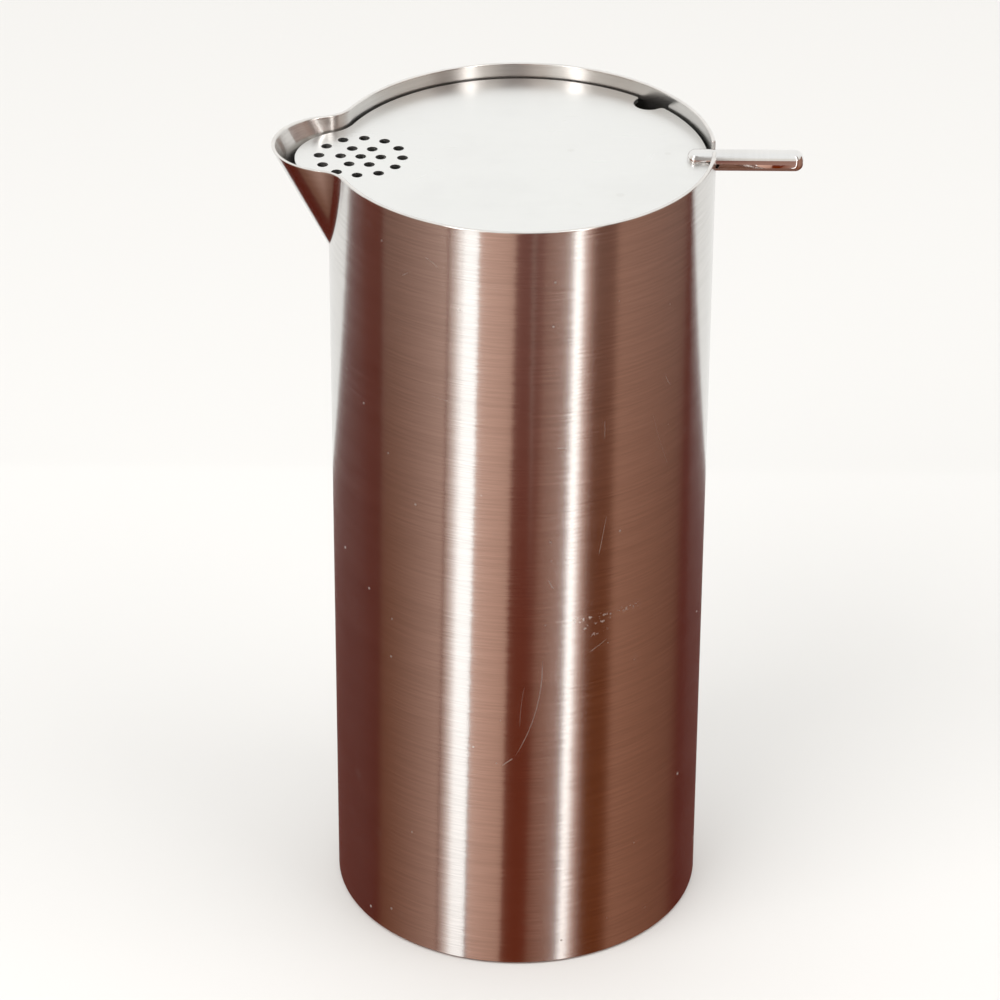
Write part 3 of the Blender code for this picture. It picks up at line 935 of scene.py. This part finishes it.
@dataclass
class StrainerLid:
    """The flat lid plate with its strainer, spoon notch and handle pin."""

    vessel: Vessel
    top: float
    bottom: float
    edge_gap: float = 0.0008
    nose_gap: float = 0.0024
    notch_radius: float = 0.004
    notch_setback: float = 0.0009
    notch_angle: float = math.radians(45.0)
    notch_lip: float = 0.0010
    hole_radius: float = 0.0014
    strainer_setback: float = 0.0170
    strainer_offset: float = 0.0004
    strainer_turn: float = math.radians(-3.0)
    strainer_rings: tuple[tuple[float, int], ...] = ((0.0052, 6), (0.0108, 12))
    edge_rounding: float = 0.00022
    pin_tip: float = 0.0005

    @property
    def radius(self) -> float:
        """Radius of the round part of the plate."""
        return self.vessel.radius - self.vessel.wall - self.edge_gap

    def nose(self) -> Point2:
        """Centre distance and radius of the nose.

        Returns:
            The two lengths.
        """
        lobe_centre, bend, (along, across) = self.vessel.section(self.bottom)
        reach = lobe_centre + self.vessel.spout_radius - self.vessel.wall - self.nose_gap
        shoulder = bend + self.vessel.wall + self.edge_gap
        behind = along - reach
        radius = (behind ** 2 + across ** 2 - shoulder ** 2) / (2.0 * (shoulder - behind))
        return reach - radius, radius

    def notch_run(self) -> tuple[list[Point2], float]:
        """The spoon notch along the plate's edge.

        Returns:
            Its points, anticlockwise round the plate, and half the angle it takes up.
        """
        centre = self.radius - self.notch_setback
        to_plate = self.radius - self.notch_lip
        to_notch = self.notch_radius + self.notch_lip
        along = (to_plate ** 2 + centre ** 2 - to_notch ** 2) / (2.0 * centre)
        across = math.sqrt(to_plate ** 2 - along ** 2)
        on_plate = math.atan2(across, along)
        on_notch = math.atan2(across, along - centre)
        lip = arc_points((along, across), self.notch_lip, on_notch - math.pi, on_plate, 10)
        bowl = arc_points((centre, 0.0), self.notch_radius, FULL_TURN - on_notch, on_notch, 36)
        lower = [(x, -y) for x, y in reversed(lip)]
        return turned(lower + bowl[1:-1] + lip, self.notch_angle), on_plate

    def outline(self) -> list[Point2]:
        """The whole edge of the plate, anticlockwise.

        Returns:
            Its points.
        """
        notch, notch_half = self.notch_run()
        nose_centre, nose_radius = self.nose()
        _, bend, (along, across) = self.vessel.section(self.bottom)
        on_plate = math.atan2(across, along)
        on_nose = math.atan2(across, along - nose_centre)
        corner = arc_points((along, across), bend + self.vessel.wall + self.edge_gap, on_plate - math.pi,
                            on_nose - math.pi, 12)
        shoulder = [(-x, y) for x, y in corner]
        far_shoulder = [(x, -y) for x, y in reversed(shoulder)]
        nose = [(-x, y) for x, y in arc_points((nose_centre, 0.0), nose_radius, on_nose, -on_nose, 56)]
        first = arc_points((0.0, 0.0), self.radius, self.notch_angle + notch_half, math.pi - on_plate, 90)
        second = arc_points((0.0, 0.0), self.radius, math.pi + on_plate,
                            FULL_TURN + self.notch_angle - notch_half, 150)
        runs = (notch, first, shoulder, nose, far_shoulder, second)
        return [point for run in runs for point in run[1:]]

    def holes(self) -> list[list[Point2]]:
        """Outlines of the strainer holes.

        Returns:
            One loop of points for each hole.
        """
        nose_centre, nose_radius = self.nose()
        middle = self.strainer_setback - nose_centre - nose_radius
        centres = [(middle, self.strainer_offset)]
        for ring_radius, count in self.strainer_rings:
            for index in range(count):
                angle = self.strainer_turn + FULL_TURN * index / count
                along = middle + ring_radius * math.cos(angle)
                centres.append((along, self.strainer_offset + ring_radius * math.sin(angle)))
        return [arc_points(centre, self.hole_radius, 0.0, FULL_TURN, 32)[:-1] for centre in centres]

    def build_plate(self, material: bpy.types.Material) -> bpy.types.Object:
        """Cut the plate from a filled outline and round its edges.

        Args:
            material: The finish.

        Returns:
            The lid plate.
        """
        thickness = self.top - self.bottom
        middle = (self.top + self.bottom) / 2.0
        curve = bpy.data.curves.new("lid_outline", "CURVE")
        curve.dimensions = "2D"
        curve.fill_mode = "BOTH"
        curve.extrude = thickness / 2.0
        for loop in [self.outline()] + self.holes():
            spline = curve.splines.new("POLY")
            spline.points.add(len(loop) - 1)
            for point, (x, y) in zip(spline.points, loop):
                point.co = (x, y, 0.0, 1.0)
            spline.use_cyclic_u = True
        drawing = bpy.data.objects.new("lid_outline", curve)
        bpy.context.scene.collection.objects.link(drawing)
        depsgraph = bpy.context.evaluated_depsgraph_get()
        filled = bpy.data.meshes.new_from_object(drawing.evaluated_get(depsgraph))
        bpy.data.objects.remove(drawing, do_unlink=True)
        builder = bmesh.new()
        builder.from_mesh(filled)
        bmesh.ops.remove_doubles(builder, verts=builder.verts, dist=MERGE_DISTANCE)
        builder.normal_update()
        flat_faces = [face for face in builder.faces if abs(face.normal.z) > 0.9]
        flat_edges = list({edge for face in flat_faces for edge in face.edges})
        bmesh.ops.beautify_fill(builder, faces=flat_faces, edges=flat_edges)
        bmesh.ops.translate(builder, verts=builder.verts, vec=(0.0, 0.0, middle))
        plate = link_mesh("lid_plate_satin", mesh_from_builder(builder, math.radians(30.0)), material)
        rounding = plate.modifiers.new("edge_rounding", "BEVEL")
        rounding.width = self.edge_rounding
        rounding.segments = 3
        rounding.limit_method = "ANGLE"
        rounding.angle_limit = math.radians(60.0)
        rounding.harden_normals = True
        apply_modifiers(plate)
        flat = thickness / 2.0 - self.edge_rounding * 0.3
        store_values(plate.data, EDGE_MARK, lambda place: 1.0 if abs(place.z - middle) < flat else 0.0)
        return plate

    def build_pin(self, material: bpy.types.Material) -> bpy.types.Object:
        """Turn the pin with rounded ends and slit it for the plate.

        Args:
            material: The finish.

        Returns:
            The handle pin.
        """
        low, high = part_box("lid_handle_pin")
        radius = (high.y - low.y) / 2.0
        axis_height = (high.z + low.z) / 2.0
        corner = radius - self.pin_tip
        half = [(0.0, 0.0)] + arc_points((corner, self.pin_tip), corner, math.pi, math.pi / 2.0, 12)
        length = high.x - low.x
        profile = half + [(corner + (length - 2.0 * corner) * share, radius) for share in (0.02, 0.98)]
        profile += [(length - x, r) for x, r in reversed(half)]
        builder = lathe([(low.x + x, 0.0, r) for x, r in profile], (1.0, 0.0, 0.0), 64)
        bmesh.ops.translate(builder, verts=builder.verts, vec=(0.0, 0.0, axis_height))
        pin = link_mesh("handle_pin_turned", mesh_from_builder(builder, math.radians(40.0)), material)
        carve(pin, self._slit_cutter(low.x))
        store_values(pin.data, EDGE_MARK, lambda place: 0.0)
        return pin

    def _slit_cutter(self, start: float) -> bpy.types.Object:
        """Make the block that clears the plate out of the pin.

        Args:
            start: Where the pin begins.

        Returns:
            The cutter.
        """
        gap, overrun, width = 0.00005, 0.004, 0.012
        near, far = start - overrun, self.radius + gap
        builder = bmesh.new()
        bmesh.ops.create_cube(builder, size=1.0)
        size = (far - near, width, self.top - self.bottom + 2.0 * gap)
        bmesh.ops.scale(builder, verts=builder.verts, vec=size)
        centre = ((near + far) / 2.0, 0.0, (self.top + self.bottom) / 2.0)
        bmesh.ops.translate(builder, verts=builder.verts, vec=centre)
        return link_cutter("slit_cutter", builder)


# ---- Studio -------------------------------------------------------------------------------------

@dataclass(frozen=True)
class ReflectorCard:
    """A curved, upright card round the object, which only the metal sees.

    Angles are in degrees about the object's axis, zero at the front and positive to the right. The card
    leans by twist degrees for each metre of height. Its glow runs from its left colour to its right
    colour, where it has one, and a bend above 1 keeps the left colour for longer.
    """

    name: str
    azimuth: float
    width: float
    twist: float
    left: Colour
    right: Colour | None = None
    bend: float = 1.0
    bottom: float = -0.36
    top: float = 0.30
    distance: float = 0.25
    rows: int = 12
    columns: int = 8

    def corner(self, across: float, up: float) -> Point3:
        """A point of the card.

        Args:
            across: 0 at its left edge, 1 at its right edge.
            up: 0 at its bottom, 1 at its top.

        Returns:
            The point.
        """
        height = self.bottom + (self.top - self.bottom) * up
        angle = math.radians(self.azimuth + self.width * (across - 0.5) + self.twist * height)
        return self.distance * math.sin(angle), -self.distance * math.cos(angle), height


@dataclass(frozen=True)
class SoftLight:
    """A large soft light for the floor and for the form of the object."""

    name: str
    place: Point3
    size: float
    power: float


DAYLIGHT = (1.0, 0.99, 0.98)
HAZE = (0.90, 0.90, 0.88)
DUSK = (0.16, 0.02, 0.0)


@dataclass(frozen=True)
class Studio:
    """Floor, lights, reflector cards and camera."""

    camera_place: Point3 = (0.0, -1.02149, 0.72164)
    camera_pitch: float = 0.533914
    camera_yaw: float = -0.0050
    camera_roll: float = 0.005558
    lens: float = 158.6
    back_sky: Colour = (1.02, 1.03, 1.02)
    front_sky: Colour = (0.86, 0.82, 0.76)
    horizon: Colour = (0.24, 0.17, 0.14)
    far_ground: Colour = (0.30, 0.12, 0.075)
    near_ground: Colour = (0.115, 0.008, 0.0)
    under_ground: Colour = (0.22, 0.11, 0.08)
    wall_distance: float = 0.22
    wall_reach: float = 1.6
    wall_height: float = 1.4
    wall_glow: Colour = (1.05, 1.05, 1.03)
    floor_reach: float = 12.0
    lights: tuple[SoftLight, ...] = (
        SoftLight("key_light", (-0.9, -0.9, 1.5), 1.2, 16.0),
        SoftLight("fill_light", (1.1, -0.5, 1.3), 1.2, 9.0),
    )
    cards: tuple[ReflectorCard, ...] = (
        ReflectorCard("left_window", -30.1, 9.0, 34.0, (1.8, 1.78, 1.76)),
        ReflectorCard("left_window_glow", -38.3, 7.4, 32.0, (0.54, 0.34, 0.27), (1.7, 1.6, 1.55), 1.7),
        ReflectorCard("left_curtain", -64.0, 42.0, 32.0, (0.20, 0.07, 0.035), (0.52, 0.31, 0.24), 1.5),
        ReflectorCard("left_reveal", -15.5, 20.0, 26.0, (0.80, 0.48, 0.37), (0.60, 0.33, 0.24)),
        ReflectorCard("middle_dark", 1.8, 15.2, 26.0, (0.163, 0.018, 0.0), distance=0.252),
        ReflectorCard("middle_post", 5.2, 1.6, 16.0, (0.30, 0.17, 0.13), bottom=0.04),
        ReflectorCard("right_window", 28.8, 4.6, 17.0, (2.7, 2.68, 2.64)),
        ReflectorCard("right_window_glow", 34.2, 6.4, 17.0, (1.00, 0.62, 0.50), (0.30, 0.12, 0.07)),
        ReflectorCard("right_reveal", 17.0, 15.6, 26.0, (0.27, 0.10, 0.06), (0.46, 0.26, 0.20)),
        ReflectorCard("right_dark", 45.0, 24.0, 10.0, (0.155, 0.03, 0.0), distance=0.254),
        ReflectorCard("right_curtain", 80.0, 54.0, 0.0, (0.38, 0.165, 0.10), (0.18, 0.06, 0.03)),
        ReflectorCard("left_window_high", -36.5, 10.0, 0.0, (5.0, 4.9, 4.8), bottom=0.30, top=0.75),
        ReflectorCard("right_window_high", 36.0, 7.0, 0.0, (5.0, 4.9, 4.8), bottom=0.30, top=0.75),
        ReflectorCard("high_post", 4.0, 22.0, 0.0, (0.34, 0.31, 0.29), bottom=0.30, top=0.75),
        ReflectorCard("high_curtain", 54.0, 16.0, 0.0, (0.28, 0.23, 0.20), bottom=0.30, top=0.75),
    )

    def build_camera(self) -> None:
        """Place the camera."""
        pitch, yaw, roll = self.camera_pitch, self.camera_yaw, self.camera_roll
        ahead = Vector((math.sin(yaw) * math.cos(pitch), math.cos(yaw) * math.cos(pitch), -math.sin(pitch)))
        right = Vector((math.cos(yaw), -math.sin(yaw), 0.0))
        up = right.cross(ahead)
        rolled_right = math.cos(roll) * right + math.sin(roll) * up
        rolled_up = -math.sin(roll) * right + math.cos(roll) * up
        camera = bpy.data.cameras.new("camera")
        camera.lens = self.lens
        camera.sensor_width = 36.0
        camera.clip_start = 0.05
        holder = bpy.data.objects.new("camera", camera)
        bpy.context.scene.collection.objects.link(holder)
        rotation = Matrix((rolled_right, rolled_up, -ahead)).transposed().to_4x4()
        holder.matrix_world = Matrix.Translation(self.camera_place) @ rotation
        bpy.context.scene.camera = holder

    def build_world(self) -> None:
        """Light the studio with a pale ceiling above and a warm tone below."""
        world = bpy.data.worlds.new("studio")
        world.use_nodes = True
        bpy.context.scene.world = world
        wires = Wiring(world.node_tree)
        background = world.node_tree.nodes["Background"]
        way = wires.add("ShaderNodeTexCoord").outputs["Generated"]
        parts = wires.add("ShaderNodeSeparateXYZ", {0: way}).outputs
        climb = parts["Z"]
        ahead = wires.blend(wires.ramp(climb, 0.05, 0.30), self.horizon, self.front_sky)
        sky = wires.blend(wires.ramp(parts["Y"], -0.3, 0.5), ahead, self.back_sky)
        sky = wires.blend(wires.ramp(climb, 0.55, 0.80), sky, self.back_sky)
        below = wires.blend(wires.ramp(climb, -0.24, -0.44), self.far_ground, self.near_ground)
        below = wires.blend(wires.ramp(climb, -0.74, -0.88), below, self.under_ground)
        wires.link(wires.blend(wires.ramp(climb, -0.02, 0.03), below, sky), background.inputs["Color"])
        background.inputs["Strength"].default_value = 1.0

    def build_floor(self) -> bpy.types.Object:
        """Make the pale floor.

        Returns:
            The floor.
        """
        builder = bmesh.new()
        bmesh.ops.create_grid(builder, x_segments=2, y_segments=2, size=self.floor_reach)
        mesh = bpy.data.meshes.new("floor")
        builder.to_mesh(mesh)
        builder.free()
        material, _, shader = new_material("pale_floor")
        shader.inputs["Base Color"].default_value = (0.72, 0.71, 0.70, 1.0)
        shader.inputs["Roughness"].default_value = 0.7
        floor = link_mesh("floor", mesh, material)
        floor.visible_glossy = False
        floor.visible_shadow = False
        return floor

    def build_lights(self) -> None:
        """Set up the soft lights, which the metal doesn't mirror."""
        for lamp in self.lights:
            light = bpy.data.lights.new(lamp.name, "AREA")
            light.shape = "SQUARE"
            light.size = lamp.size
            light.energy = lamp.power
            light.color = DAYLIGHT
            holder = bpy.data.objects.new(lamp.name, light)
            place = Vector(lamp.place)
            aim = Vector((0.0, 0.0, 0.1)) - place
            holder.matrix_world = Matrix.Translation(place) @ aim.to_track_quat("-Z", "Y").to_matrix().to_4x4()
            holder.visible_glossy = False
            bpy.context.scene.collection.objects.link(holder)

    def build_cards(self) -> None:
        """Stand the reflector cards round the object, with a pale wall behind it."""
        for card in self.cards:
            grid = [[card.corner(column / card.columns, row / card.rows) for column in range(card.columns + 1)]
                    for row in range(card.rows + 1)]
            self._card(card.name, grid, card.left, card.right or card.left, card.bend)
        wide, tall, away = self.wall_reach, self.wall_height, self.wall_distance
        grid = [[(-wide, away, 0.0), (wide, away, 0.0)], [(-wide, away, tall), (wide, away, tall)]]
        self._card("pale_wall", grid, self.wall_glow, self.wall_glow, 1.0)

    @staticmethod
    def _card(name: str, grid: Sequence[Sequence[Point3]], left: Colour, right: Colour, bend: float) -> None:
        """Make one glowing card that only reflections see.

        Args:
            name: Name of the card.
            grid: Its points in rows, from the bottom up and from left to right.
            left: Glow at its left edge.
            right: Glow at its right edge.
            bend: Power of the run from left to right.
        """
        builder = bmesh.new()
        layer = builder.verts.layers.float.new("across")
        rows = [[builder.verts.new(point) for point in row] for row in grid]
        for row in rows:
            for index, vert in enumerate(row):
                vert[layer] = (index / (len(row) - 1)) ** bend
        for lower, upper in zip(rows, rows[1:]):
            for index in range(len(lower) - 1):
                builder.faces.new((lower[index], lower[index + 1], upper[index + 1], upper[index]))
        mesh = bpy.data.meshes.new(name)
        builder.to_mesh(mesh)
        builder.free()
        material, wires, shader = new_material(name)
        wires.tree.nodes.remove(shader)
        across = wires.add("ShaderNodeAttribute", attribute_name="across").outputs["Fac"]
        place = wires.add("ShaderNodeTexCoord").outputs["Object"]
        height = wires.add("ShaderNodeSeparateXYZ", {0: place}).outputs["Z"]
        haze = wires.math("MULTIPLY", wires.ramp(height, -0.03, 0.14), 0.08)
        dusk = wires.math("MULTIPLY", wires.ramp(height, -0.02, -0.16), 0.20)
        colour = wires.blend(haze, wires.blend(across, left, right), HAZE)
        glow = wires.add("ShaderNodeEmission", {"Color": wires.blend(dusk, colour, DUSK)})
        wires.link(glow.outputs[0], wires.tree.nodes["Material Output"].inputs["Surface"])
        card = link_mesh(name, mesh, material)
        card.visible_camera = False
        card.visible_diffuse = False
        card.visible_transmission = False
        card.visible_shadow = False


# ---- Assembly -----------------------------------------------------------------------------------

def steel_finishes(effects: SurfaceEffects, radius: float) -> dict[str, bpy.types.Material]:
    """Make the finishes of the mixer.

    Args:
        effects: The shared surface effects.
        radius: Outer radius of the tube.

    Returns:
        Materials by name.
    """
    brushed = BrushedSteel("brushed_steel", (0.66, 0.64, 0.62), (0.57, 0.55, 0.53), roughness=0.20,
                           anisotropy=0.97, radius=radius, scratches=SCRATCHES)
    satin = SatinSteel("satin_steel", (0.82, 0.82, 0.81), (0.79, 0.79, 0.78), roughness=0.30,
                       stretch=(60.0, 1800.0, 400.0), bump=0.015)
    polished = SatinSteel("polished_steel", (0.82, 0.81, 0.80), (0.76, 0.75, 0.74), roughness=0.08,
                          stretch=(900.0, 60.0, 60.0), bump=0.02)
    finishes = {"brushed": brushed, "satin": satin, "polished": polished}
    return {name: finish.build(effects) for name, finish in finishes.items()}



def main() -> None:
    """Build the mixer and its studio."""
    logging.basicConfig(level=logging.INFO, format="%(name)s: %(message)s")
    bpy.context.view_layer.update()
    effects = SurfaceEffects()
    tube_low, tube_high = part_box("body_tube")
    pin_low, pin_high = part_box("lid_handle_pin")
    vessel = Vessel(radius=tube_high.x, height=tube_high.z, foot=tube_low.z,
                    pin_radius=(pin_high.y - pin_low.y) / 2.0, pin_height=(pin_high.z + pin_low.z) / 2.0)
    finishes = steel_finishes(effects, vessel.radius)
    skin = vessel.build_skin(finishes["brushed"])
    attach(skin, "vessel")
    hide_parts("body_tube", "pouring_spout")
    base = vessel.build_base(finishes["brushed"])
    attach(base, "vessel")
    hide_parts("base_plate")
    plate_low, plate_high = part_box("lid_plate")
    lid = StrainerLid(vessel, plate_high.z, plate_low.z)
    plate = lid.build_plate(finishes["satin"])
    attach(plate, "lid")
    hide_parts("lid_plate")
    pin = lid.build_pin(finishes["polished"])
    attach(pin, "lid")
    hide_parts("lid_handle_pin")
    for piece in (skin, base, plate, pin):
        LOG.info("%s: %d faces", piece.name, len(piece.data.polygons))
    studio = Studio()
    studio.build_world()
    studio.build_floor()
    studio.build_lights()
    studio.build_cards()
    studio.build_camera()
    scene = bpy.context.scene
    scene.view_settings.view_transform = "Standard"


if __name__ == "__main__":
    main()
